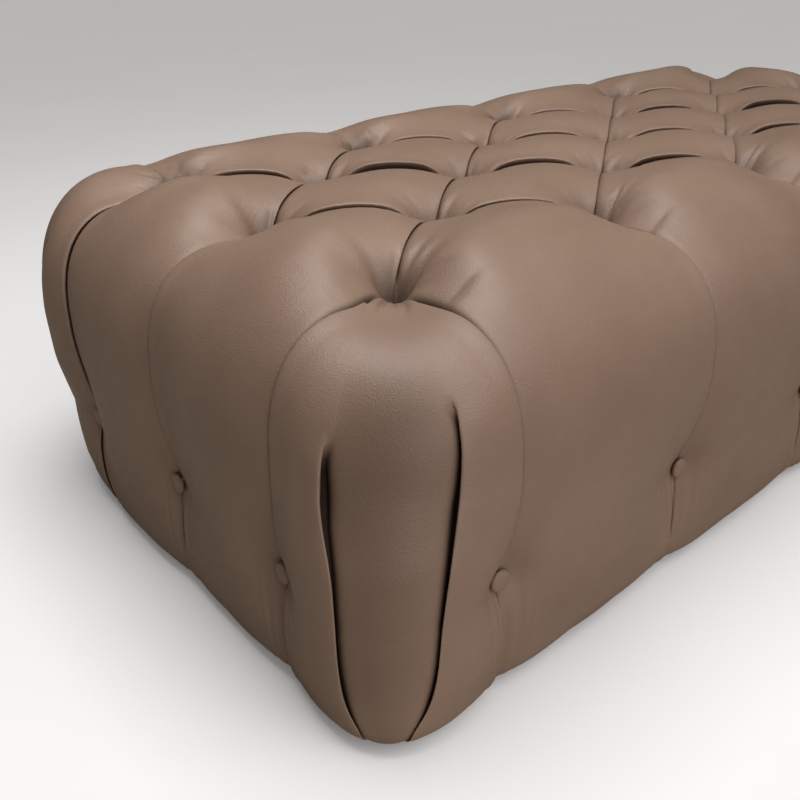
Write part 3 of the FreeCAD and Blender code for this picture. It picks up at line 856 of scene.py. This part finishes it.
class Hood:
    """A rounded corner between the pleats at the ends of two sides, with two deep folds."""

    def __init__(self, before, after):
        self.before = before
        self.after = after
        self.corner = after.start
        self.bulge = hood_bulges[after.name]
        self.dip = hood_dips[after.name]

    def fold_angles(self, w):
        return rounded_angle(first_fold, w), rounded_angle(second_fold, w)

    def angles(self, w, bands, amounts):
        """Angle of each column at each station: a share of the way across one of three bands."""
        first, second = self.fold_angles(w)
        limits = np.stack([np.zeros_like(w), first, second, np.full_like(w, math.pi / 2)])
        return share(limits[bands].T, limits[bands + 1].T, amounts)

    def curve(self, w, angle, inset):
        """Reach and height: the sides' pleats at the hood's edges, and their full panels in its middle."""
        turn = ease(angle / (math.pi / 2))
        below = np.clip(w, 1, 5)
        pleat = share(self.before.pleat_curve(w, inset), self.after.pleat_curve(w, inset), turn)
        full = share(self.before.middle_curve(below, inset), self.after.middle_curve(below, inset), turn)
        fullness = (1 - (1 - np.sin(2 * angle)) ** 2) * rising(w, full_span)
        return share(pleat, full, fullness)

    def points(self, w, angle, inset=0.0):
        """Base form of the hood, with each point's distance from the corner tuft."""
        reach, height = self.curve(w, angle, inset)
        power = at_station(hood_roundness, w)
        swell = np.sin(2 * angle)
        cosine, sine = np.cos(angle), np.sin(angle)
        radius = reach * (cosine ** power + sine ** power) ** (-1 / power)
        radius = radius + at_station(self.bulge, w) * swell
        dip = self.dip * (1 - np.exp(-reach / hood_dip_reach)) * (1 - ease(w - 1))
        out = along_axis(cosine, self.before.outward) + along_axis(sine, self.after.outward)
        return self.corner + along_axis(radius, out) + along_axis(height - dip * swell, up), radius

    def coarse_points(self, w, inset):
        angle, w = np.meshgrid(coarse * math.pi / 2, w)
        return self.points(w, angle, inset)[0]

    def add_leather(self, skin):
        rows = stations(from_fold(lip_reach), hood_rows)
        shares = [between_folds(width) for width in band_widths]
        columns = [(band, amount) for band in range(3) for amount in shares[band][min(band, 1):]]
        bands, amounts = map(np.array, zip(*columns))
        angle = self.angles(rows, bands, amounts)
        w = np.repeat(rows[:, None], len(columns), axis=1)
        points, radius = self.points(w, angle)
        to_before, to_after = radius * np.sin(angle), radius * np.cos(angle)
        margin = np.minimum(np.minimum(to_before, to_after), (5 - w) * hem_margin)
        outward = self.before.outward + self.after.outward + up
        patch = Draped(uneven(points, margin, outward))
        self.fold_corner(patch, w, angle, radius, bands, amounts)
        fold_side_pleat(patch, self.before, w, to_before, -self.after.outward, True)
        fold_side_pleat(patch, self.after, w, to_after, -self.before.outward, True)
        patch.lay(skin, outward)

    def fold_corner(self, patch, w, angle, radius, bands, amounts):
        """The two deep folds: outer strips lie over the recessed middle of the hood."""
        turn = along_axis(-np.sin(angle), self.before.outward)
        turn = turn + along_axis(np.cos(angle), self.after.outward)
        start, end = self.before.pleat_normal(w), self.after.pleat_normal(w)
        out = along_axis(np.cos(angle) ** 2, start) + along_axis(np.sin(angle) ** 2, end)
        out = out / np.linalg.norm(out, axis=-1, keepdims=True)
        in_middle = bands == 1
        arch = np.sin(math.pi * amounts)
        body = rising(w, recess_top) * (1 - rising(w, recess_foot))
        swell = strip_swell * arch * np.where(in_middle, middle_swell, 1.0)
        hollow = share(arch ** arch_power, 1.0, rising(w, hollow_span))
        recess = corner_recess + corner_hollow * bell(w - hollow_station, hollow_length)
        patch.points = patch.points + along_axis(body * (swell - recess * hollow * in_middle), out)
        # Painted shade in the hood's recessed middle
        fade = rising(w, shade_top) * (1 - shade_loss * rising(w, shade_foot))
        patch.depth = np.maximum(patch.depth, corner_shade * arch ** arch_power * fade * in_middle)
        for hand, limit, top, mouth in zip((1, -1), self.fold_angles(w), fold_tops, fold_mouths):
            d = np.abs(angle - limit) * radius
            strength = ease((w - top) / fold_top_run) * (1 - fold_foot_loss * rising(w, fold_foot))
            opened = mouth * bell(w - top - mouth_drop, mouth_length) + least_mouth
            fold = Fold(corner_overlap, corner_depth, corner_lip, opened, corner_lip_width, corner_dip)
            over = (angle - limit) * hand <= 0
            patch.fold(fold, d, True, hand * turn, out, strength * over)
            patch.fold(fold, d, False, -hand * turn, out, strength * in_middle * ~over)


panels = [Panel(side, index) for side in sides for index in range(side.count - 1)]
puffs = [Diamond(centre) for centre in diamonds]
hoods = [Hood(sides[index - 1], side) for index, side in enumerate(sides)]


def leather_cover():
    skin = Skin()
    for patch in puffs + panels + hoods:
        patch.add_leather(skin)
    return skin.mesh("leather_skin")


# Inner layers, coarse and closed

def wadding_layer():
    """A layer under the leather, with an outer and an inner face that meet at the hem."""
    skin = Skin()
    w = stations(coarse_top, (6, 5, 5))
    inner_inset = wadding_inset + wadding_thickness
    for puff in puffs:
        skin.add(puff.coarse_points(wadding_inset), up)
        skin.add(puff.coarse_points(inner_inset), -up)
    for patch in panels + hoods:
        outer, inner = patch.coarse_points(w, wadding_inset), patch.coarse_points(w, inner_inset)
        outward = outer[-1].mean(0) * vector(1, 1) + up * metre
        skin.add(outer, outward)
        skin.add(inner, -outward)
        skin.add(np.stack((outer[-1], inner[-1])), -up)
    return skin.mesh("wadding_layer")


def seat_foam_block():
    """Foam under the tufted top, flat where it lies on the deck."""
    skin = Skin()
    w = stations(coarse_top, (6,))
    level = vector(1, 1)
    for puff in puffs:
        top = puff.coarse_points(foam_inset)
        skin.add(top, up)
        skin.add(top * level + up * shoulder_height, -up)
    for patch in panels + hoods:
        top = patch.coarse_points(w, foam_inset)
        skin.add(top, top[-1].mean(0) * level + up * metre)
        skin.add(np.stack((top[-1], top[0] * level + up * shoulder_height)), -up)
    return skin.mesh("seat_foam_block")


def add_slab(skin, outer, inner, outward, along):
    """A closed slab between two grids of the same shape."""
    skin.add(outer, outward)
    skin.add(inner, -outward)
    skin.add(np.stack((outer[0], inner[0])), up)
    skin.add(np.stack((outer[-1], inner[-1])), -up)
    skin.add(np.stack((outer[:, 0], inner[:, 0])), -along)
    skin.add(np.stack((outer[:, -1], inner[:, -1])), along)


def side_foam_slab(side, start_hood, end_hood):
    """Foam on one side of the frame, mitred in the middle of its corner hoods."""
    skin = Skin()
    rows = np.linspace(2, 4, 9)
    w = np.repeat(rows[:, None], len(coarse), axis=1)
    half_turn = np.repeat(coarse[None] * math.pi / 4, len(rows), axis=0)
    first = start_hood.points(w, math.pi / 4 + half_turn, foam_inset)[0]
    last = end_hood.points(w, half_turn, foam_inset)[0]
    middle = [panel.coarse_points(rows, foam_inset) for panel in panels if panel.side is side]
    outer = np.concatenate([first] + [part[:, 1:] for part in middle + [last]], axis=1)
    reach = ((outer - side.start) * side.outward).sum(-1)
    lateral = ((outer - side.start) * side.along).sum(-1)
    length = side.pitch * (side.count - 1)
    beyond = lateral - np.clip(lateral, 0, length)
    pulled = np.clip(lateral, 0, length) + beyond * frame_reach / np.abs(beyond).max(axis=1, keepdims=True)
    inner = outer + along_axis(frame_reach - reach, side.outward) + along_axis(pulled - lateral, side.along)
    add_slab(skin, outer, inner, side.outward, side.along)
    return skin.mesh("side_foam_slab")


# Covered buttons

def add_button(skin, base, axis):
    """A leather-covered button, gathered in small puckers at its back."""
    round_steps, arc_steps = button_steps
    turn, arc = np.meshgrid(np.linspace(0, 2 * math.pi, round_steps), np.linspace(0, math.pi, arc_steps))
    pucker = 1 + pucker_depth * np.cos(pucker_count * turn) * np.clip(-np.cos(arc), 0, 1)
    radius = button_radius * np.clip(np.sin(arc), 0, 1) ** button_edge * pucker
    rise = button_depth * (0.5 + 0.5 * np.sign(np.cos(arc)) * np.abs(np.cos(arc)) ** button_crown)
    right = np.cross(axis, vector(0.6, 0.8) if abs(axis[2]) > 0.5 else up)
    right = right / np.linalg.norm(right)
    other = np.cross(axis, right)
    points = base + along_axis(radius * np.cos(turn), right) + along_axis(radius * np.sin(turn), other)
    skin.add(points + along_axis(rise, axis), axis)


def top_buttons():
    skin = Skin()
    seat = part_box("top_button_caps")[0][2] * metre
    for tuft in tufts:
        add_button(skin, tuft + up * seat, up)
    return skin.mesh("top_buttons")


def side_buttons():
    skin = Skin()
    for side in sides:
        for tuft in side.tufts():
            add_button(skin, tuft + side.outward * button_seat + up * button_height, side.outward)
    return skin.mesh("side_buttons")


# Dust cover

foot_columns = (-541.0, 0.0, 541.0)
foot_hole_radius = 15.0
foot_cell = 23.0
foot_steps = 4
dust_step = 60.0
dust_sag = 3.0
ripple_size = 0.4
ripple_lengths = (41.0, 37.0)


def line_places(half, fine):
    """Grid lines from -half to half, closer across the fine stretches than elsewhere."""
    edges = sorted({-half, half, *[end for stretch in fine for end in stretch]})
    lines = [edges[0]]
    for a, b in zip(edges, edges[1:]):
        steps = foot_steps if (a, b) in fine else max(1, round((b - a) / dust_step))
        lines += [share(a, b, (k + 1) / steps) for k in range(steps)]
    return np.array(lines)


class DustSheet:
    """Cambric stretched under the frame, with a round hole at each foot."""

    def __init__(self):
        low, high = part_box("dust_cover")
        self.half_x, self.half_y = high[0] * metre, high[1] * metre
        self.height = (low[2] + high[2]) / 2 * metre
        self.feet = grid(foot_columns, (foot_cell - self.half_y, self.half_y - foot_cell))
        self.skin = Skin()

    def add(self, x, y):
        """A part of the sheet, a little slack between its stapled edges."""
        slack = 1 - (y / self.half_y) ** 2
        sag = dust_sag * (1 - (x / self.half_x) ** 2) * slack
        wave = np.sin(x / ripple_lengths[0]) * np.sin(y / ripple_lengths[1])
        ripple = ripple_size * wave * np.clip(slack, 0, 1)
        self.skin.add(np.stack((x, y, self.height - sag + ripple), -1), -up)

    def add_foot_ring(self, foot):
        """The sheet between a foot's round hole and its square cell."""
        edge, full = np.linspace(-1, 1, foot_steps + 1)[:-1], np.ones(foot_steps)
        square = np.concatenate((np.stack((edge, -full), 1), np.stack((full, edge), 1),
                                 np.stack((-edge, full), 1), np.stack((-full, -edge), 1)))
        square = np.concatenate((square, square[:1])) * foot_cell
        circle = square / np.linalg.norm(square, axis=1, keepdims=True) * foot_hole_radius
        ring = np.stack([share(circle, square, amount) for amount in (0, 0.5, 1)]) + foot[:2]
        self.add(ring[..., 0], ring[..., 1])

    def mesh(self):
        inner_y = self.half_y - 2 * foot_cell
        x = line_places(self.half_x, [(c - foot_cell, c + foot_cell) for c in foot_columns])
        y = line_places(self.half_y, [(-self.half_y, -inner_y), (inner_y, self.half_y)])
        for i in range(len(x) - 1):
            for j in range(len(y) - 1):
                middle = vector(x[i] + x[i + 1], y[j] + y[j + 1]) / 2
                if min(np.abs(middle - foot).max() for foot in self.feet) > foot_cell:
                    self.add(*np.meshgrid(x[i:i + 2], y[j:j + 2]))
        for foot in self.feet:
            self.add_foot_ring(foot)
        return self.skin.mesh("dust_sheet")


# Materials

class Nodes:
    """A material's nodes, with short calls to add them."""

    def __init__(self, name, roughness):
        self.material = bpy.data.materials.new(name)
        self.material.use_nodes = True
        self.tree = self.material.node_tree
        self.shader = self.tree.nodes["Principled BSDF"]
        self.shade("Roughness", roughness)
        self.place = self.add("ShaderNodeTexCoord").outputs["Object"]

    def feed(self, target, value):
        """Link an output to an input, or give the input a fixed value."""
        if isinstance(value, bpy.types.NodeSocket):
            self.tree.links.new(value, target)
        else:
            target.default_value = value

    def shade(self, name, value):
        self.feed(self.shader.inputs[name], value)

    def add(self, kind, **values):
        """A node with its settings and inputs."""
        node = self.tree.nodes.new(kind)
        for name, value in values.items():
            if name in node.inputs:
                self.feed(node.inputs[name], value)
            else:
                setattr(node, name, value)
        return node

    def stretched(self, x, y, z):
        """The object's coordinates, scaled along each axis."""
        return self.add("ShaderNodeMapping", Scale=(x, y, z), Vector=self.place).outputs["Vector"]

    def noise(self, scale, detail=4.0, place=None):
        node = self.add("ShaderNodeTexNoise", Scale=scale, Detail=detail, Vector=place or self.place)
        return node.outputs["Fac"]

    def cells(self, scale, **values):
        """Distance from the middles of small cells."""
        node = self.add("ShaderNodeTexVoronoi", Scale=scale, **values, Vector=self.place)
        return node.outputs["Distance"]

    def ramp(self, factor, low, high, start=0.3, end=0.7):
        """A colour between low and high."""
        node = self.add("ShaderNodeValToRGB", Fac=factor)
        for element, place, colour in zip(node.color_ramp.elements, (start, end), (low, high)):
            element.position = place
            element.color = (*colour, 1)
        return node.outputs["Color"]

    def mixed(self, factor, first, second):
        """Two colours mixed by a factor."""
        node = self.add("ShaderNodeMix", data_type="RGBA", Factor=factor)
        self.feed(node.inputs[6], first)
        self.feed(node.inputs[7], second)
        return node.outputs[2]

    def range(self, factor, low, high):
        """A number between low and high, by a factor from 0 to 1."""
        node = self.add("ShaderNodeMapRange", Value=factor, **{"To Min": low, "To Max": high})
        return node.outputs["Result"]

    def attribute(self, name):
        return self.add("ShaderNodeAttribute", attribute_name=name).outputs["Fac"]

    def bump(self, *heights):
        """Bumps from pairs of a height and its depth in metres."""
        normal = None
        for height, depth in heights:
            node = self.add("ShaderNodeBump", Strength=1.0, Distance=depth, Height=height)
            if normal:
                self.feed(node.inputs["Normal"], normal)
            normal = node.outputs["Normal"]
        self.shade("Normal", normal)


def leather():
    """Taupe-brown hide: fine pebble grain, cloudy colour, fold edges paler with wear and painted highlight,
    and painted shade in the folds, the tuft pits and the hoods' recesses.
    """
    nodes = Nodes("leather", 0.45)
    colour = nodes.ramp(nodes.noise(9.0, 5.0), (0.262, 0.170, 0.121), (0.304, 0.203, 0.148))
    # Fold noses paler: partly wear, partly painted highlight
    edge = nodes.range(nodes.attribute("worn_highlit_edge"), 0.0, 0.35)
    colour = nodes.mixed(edge, colour, (0.36, 0.255, 0.195, 1))
    # Painted shade: the folds, tuft pits and hood recesses are mixed towards near black, and their sheen is
    # taken down
    fold = nodes.attribute("painted_fold_shade")
    nodes.shade("Base Color", nodes.mixed(nodes.range(fold, 0.0, 0.93), colour, (0.022, 0.014, 0.010, 1)))
    nodes.shade("Specular IOR Level", nodes.range(fold, 0.5, 0.02))
    nodes.shade("Roughness", nodes.range(nodes.noise(60.0, 3.0), 0.36, 0.54))
    pebbles = nodes.cells(780.0, feature="SMOOTH_F1")
    nodes.bump((nodes.noise(160.0, 2.0), 0.00007), (pebbles, 0.00028))
    return nodes.material


def wadding():
    nodes = Nodes("wadding", 0.95)
    fibres = nodes.noise(140.0, 8.0, nodes.stretched(1.0, 0.35, 1.0))
    nodes.shade("Base Color", nodes.ramp(fibres, (0.70, 0.70, 0.68), (0.88, 0.88, 0.86)))
    nodes.bump((fibres, 0.002))
    return nodes.material


def foam():
    nodes = Nodes("foam", 0.95)
    cells = nodes.cells(420.0)
    nodes.shade("Base Color", nodes.ramp(cells, (0.62, 0.54, 0.34), (0.86, 0.80, 0.58), 0.1, 0.6))
    nodes.bump((cells, 0.001))
    return nodes.material


def twine():
    nodes = Nodes("twine", 0.7)
    strands = nodes.noise(900.0, 3.0, nodes.stretched(1.0, 1.0, 0.25))
    nodes.shade("Base Color", nodes.ramp(strands, (0.52, 0.45, 0.33), (0.78, 0.71, 0.56)))
    nodes.bump((strands, 0.0004))
    return nodes.material


def moulded(name, low, high, roughness):
    """A moulded plastic with a fine matte texture."""
    nodes = Nodes(name, roughness)
    grain = nodes.noise(700.0, 3.0)
    nodes.shade("Base Color", nodes.ramp(nodes.noise(30.0), low, high))
    nodes.shade("Roughness", nodes.range(grain, roughness - 0.08, roughness + 0.1))
    nodes.bump((grain, 0.0001))
    return nodes.material


def timber(name, low, high, stretch, ring_scale):
    """Planed wood with grain along one axis."""
    nodes = Nodes(name, 0.6)
    place = nodes.stretched(*stretch)
    rings = nodes.noise(ring_scale, 6.0, place)
    pores = nodes.noise(ring_scale * 9, 3.0, place)
    nodes.shade("Base Color", nodes.mixed(0.25, nodes.ramp(rings, low, high), nodes.ramp(pores, low, high)))
    nodes.shade("Roughness", nodes.range(pores, 0.5, 0.75))
    nodes.bump((pores, 0.0003))
    return nodes.material


def zinc():
    nodes = Nodes("zinc", 0.35)
    spots = nodes.noise(260.0, 4.0)
    nodes.shade("Metallic", 1.0)
    nodes.shade("Base Color", nodes.ramp(spots, (0.48, 0.46, 0.42), (0.70, 0.69, 0.66)))
    nodes.shade("Roughness", nodes.range(spots, 0.28, 0.5))
    nodes.bump((nodes.noise(1200.0, 2.0), 0.00005))
    return nodes.material


def cambric():
    """Black non-woven cloth with a pressed dot pattern."""
    nodes = Nodes("cambric", 0.9)
    dots = nodes.cells(500.0, Randomness=0.15)
    nodes.shade("Base Color", nodes.ramp(dots, (0.018, 0.018, 0.018), (0.04, 0.04, 0.04), 0.1, 0.5))
    nodes.bump((dots, 0.0003))
    return nodes.material


def make_materials():
    pine = ((0.50, 0.33, 0.17), (0.70, 0.53, 0.32))
    birch = ((0.55, 0.39, 0.22), (0.70, 0.54, 0.35))
    return {
        "leather": leather(),
        "wadding": wadding(),
        "foam": foam(),
        "twine": twine(),
        "toggle_plastic": moulded("nylon", (0.74, 0.74, 0.72), (0.84, 0.84, 0.82), 0.5),
        "softwood": timber("pine", *pine, (1.0, 6.0, 6.0), 9.0),
        "plywood": timber("birch_ply", *birch, (1.0, 3.0, 12.0), 14.0),
        "steel": zinc(),
        "dust_cloth": cambric(),
        "foot_plastic": moulded("black_glide", (0.012, 0.012, 0.012), (0.03, 0.03, 0.03), 0.55),
    }


materials = make_materials()


# Pieces

def dress_frame():
    """Materials of the pieces that keep their own solids."""
    for part in frame["record"]["subparts"]:
        node = frame["nodes"][part["node"]]
        node.data.materials.clear()
        node.data.materials.append(materials[part["material_slot"]])


def add_object(name, data):
    thing = bpy.data.objects.new(name, data)
    bpy.context.scene.collection.objects.link(thing)
    return thing


def add_piece(name, mesh, slot_name, *replaced):
    mesh.materials.append(materials[slot_name])
    piece = add_object(name, mesh)
    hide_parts(*replaced)
    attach(piece, "root")
    return piece


def add_soft_pieces():
    cover = add_piece("leather_cover_skin", leather_cover(), "leather", "leather_cover")
    layer = add_piece("wadding_skin", wadding_layer(), "wadding", "fibre_wadding")
    seat = add_piece("seat_foam_form", seat_foam_block(), "foam", "seat_foam")
    for index, side in enumerate(sides):
        slab = side_foam_slab(side, hoods[index], hoods[(index + 1) % len(hoods)])
        piece = add_piece("side_foam_form_" + side.name, slab, "foam", "side_foam_" + side.name)
    add_piece("top_button_covers", top_buttons(), "leather", "top_button_caps")
    add_piece("side_button_covers", side_buttons(), "leather", "side_button_caps")


def add_dust_cover():
    cambric_sheet = DustSheet()
    sheet = add_piece("dust_cover_sheet", cambric_sheet.mesh(), "dust_cloth", "dust_cover")


# Floor, light and camera

floor_half = 20.0
floor_bounce = (0.41, 0.355, 0.29, 1)
floor_glow = 0.12


def add_floor():
    """A floor that is pale to the camera, and throws back dim warm light."""
    mesh = bpy.data.meshes.new("floor")
    corners = [(-1, -1), (1, -1), (1, 1), (-1, 1)]
    mesh.from_pydata([(floor_half * x, floor_half * y, 0.0) for x, y in corners], [], [(0, 1, 2, 3)])
    nodes = Nodes("pale_floor", 0.8)
    pale = nodes.ramp(nodes.noise(2.0), (0.90, 0.89, 0.88), (0.93, 0.92, 0.91))
    seen = nodes.add("ShaderNodeLightPath").outputs["Is Camera Ray"]
    nodes.shade("Base Color", nodes.mixed(nodes.range(seen, 1.0, 0.0), pale, floor_bounce))
    nodes.shade("Emission Strength", nodes.range(seen, 0.0, floor_glow))
    mesh.materials.append(nodes.material)
    floor = add_object("floor", mesh)


def looking(place, target, roll=0.0):
    """Placement of a lamp or camera at place that looks at target."""
    ahead = (target - place) / np.linalg.norm(target - place)
    right = np.cross(ahead, up)
    right /= np.linalg.norm(right)
    over = np.cross(right, ahead)
    turned = math.cos(roll) * right - math.sin(roll) * over
    upright = math.sin(roll) * right + math.cos(roll) * over
    matrix = np.eye(4)
    matrix[:3] = np.stack((turned, upright, -ahead, place), 1)
    return Matrix(matrix.tolist())


def add_lamp(name, kind, power, place, target):
    lamp = bpy.data.lights.new(name, kind)
    lamp.energy = power
    add_object(name, lamp).matrix_world = looking(vector(*place), vector(*target))
    return lamp


def add_lamps():
    """A very wide lamp high up in front, one over the bench, and a weak one low at its front."""
    sky = add_lamp("sky", "SUN", power=1.5, place=(0.1, -0.6, 0.79), target=(0.0, 0.0, 0.0))
    sky.angle = math.radians(60)
    ceiling = add_lamp("ceiling", "AREA", power=21, place=(-0.45, 0.0, 1.9), target=(-0.4, 0.0, 0.3))
    ceiling.size = 1.2
    low = add_lamp("low", "AREA", power=2.2, place=(-0.95, -1.35, 0.25), target=(-0.45, -0.3, 0.12))
    low.size = 0.5


def add_world():
    """Dim warm light from all round, and a pale background for the camera."""
    world = bpy.data.worlds.new("studio")
    bpy.context.scene.world = world
    world.use_nodes = True
    nodes, links = world.node_tree.nodes, world.node_tree.links
    ambient = nodes["Background"]
    ambient.inputs["Color"].default_value = (1.0, 0.88, 0.76, 1)
    ambient.inputs["Strength"].default_value = 0.03
    pale = nodes.new("ShaderNodeBackground")
    pale.inputs["Color"].default_value = (0.60, 0.60, 0.59, 1)
    mix = nodes.new("ShaderNodeMixShader")
    links.new(nodes.new("ShaderNodeLightPath").outputs["Is Camera Ray"], mix.inputs["Fac"])
    links.new(ambient.outputs["Background"], mix.inputs[1])
    links.new(pale.outputs["Background"], mix.inputs[2])
    links.new(mix.outputs["Shader"], nodes["World Output"].inputs["Surface"])


# Camera at the photograph's viewing angle
image_width = 800.0
sensor_width = 36.0
focal_pixels = 877.7
camera_place = np.array((-0.9539, -0.6974, 0.6096))
camera_heading = math.radians(49.541)
camera_dip = math.radians(28.173)
camera_roll = math.radians(0.864)


def add_camera():
    lens = bpy.data.cameras.new("camera")
    lens.sensor_width = sensor_width
    lens.lens = focal_pixels / image_width * sensor_width
    lens.clip_start = 0.01
    camera = add_object("camera", lens)
    level, fall = math.cos(camera_dip), math.sin(camera_dip)
    ahead = vector(level * math.cos(camera_heading), level * math.sin(camera_heading), -fall)
    camera.matrix_world = looking(camera_place, camera_place + ahead, camera_roll)
    bpy.context.scene.camera = camera


def main():
    dress_frame()
    add_soft_pieces()
    add_dust_cover()
    add_floor()
    add_world()
    add_lamps()
    add_camera()
    bpy.context.scene.view_settings.view_transform = "Standard"


main()
